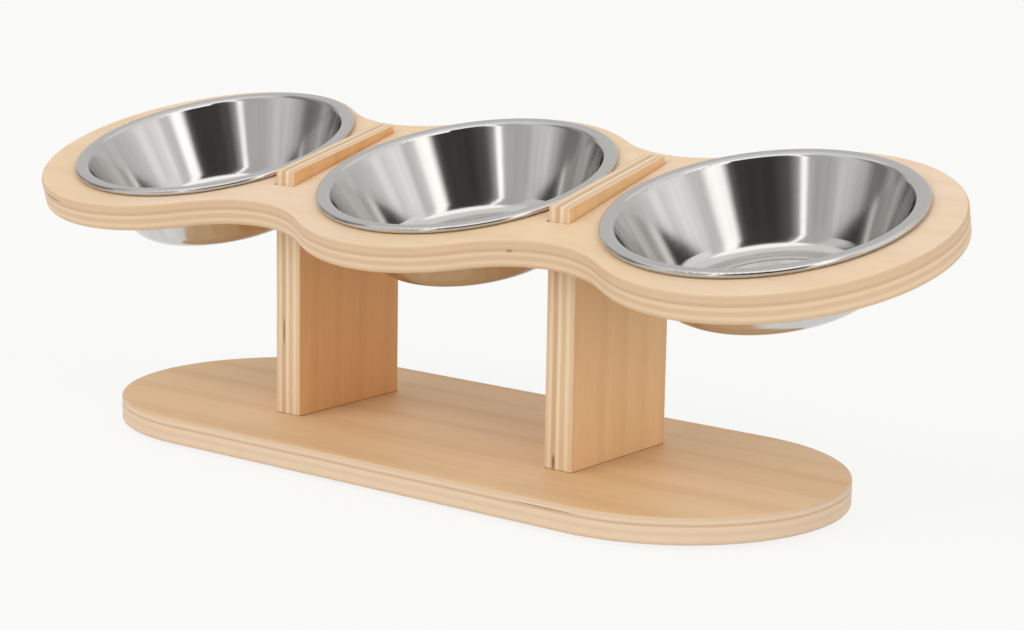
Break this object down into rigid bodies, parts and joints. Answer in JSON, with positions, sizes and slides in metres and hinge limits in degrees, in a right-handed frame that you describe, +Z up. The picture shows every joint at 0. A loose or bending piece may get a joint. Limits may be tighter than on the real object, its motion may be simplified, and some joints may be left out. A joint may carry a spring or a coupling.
{
  "type": "elevated cat bowl stand",
  "caption": "Raised feeding stand for cats: steel bowls hang in a tilted plywood board with round lobes, on two plywood uprights and an oblong plywood foot.",
  "frame": {"origin": "on the floor, under the middle of the whole stand's footprint, 1.0 mm in front of the base board's own middle", "axes": "+X along the row of bowls, +Y from the low front edge to the high back edge, +Z up"},
  "size_m": [0.4948, 0.162, 0.1534],
  "materials": {
    "birch_plywood": "pale plywood, sanded and clear matt lacquer, plies bare at the edges",
    "bowl_steel": "polished inside the wall, satin on the rim and outside",
    "zinc_steel": "bright zinc plate",
    "pad_rubber": "matt"
  },
  "bodies": {
    "stand": {"base_board": "birch_plywood", "top_board": "birch_plywood", "upright_left": "birch_plywood", "upright_right": "birch_plywood", "base_screws_left": "zinc_steel", "base_screws_right": "zinc_steel", "foot_pad_front_left": "pad_rubber", "foot_pad_front_right": "pad_rubber", "foot_pad_back_left": "pad_rubber", "foot_pad_back_right": "pad_rubber"},
    "left_bowl": {"bowl_left": "bowl_steel"},
    "middle_bowl": {"bowl_middle": "bowl_steel"},
    "right_bowl": {"bowl_right": "bowl_steel"}
  },
  "joints": [
    {"name": "left_bowl_lift", "type": "slide", "parent": "stand", "child": "left_bowl", "axis": [0, -0.2588, 0.9659], "range_m": [0, 0.06]},
    {"name": "middle_bowl_lift", "type": "slide", "parent": "stand", "child": "middle_bowl", "axis": [0, -0.2588, 0.9659], "range_m": [0, 0.06]},
    {"name": "right_bowl_lift", "type": "slide", "parent": "stand", "child": "right_bowl", "axis": [0, -0.2588, 0.9659], "range_m": [0, 0.06]}
  ]
}
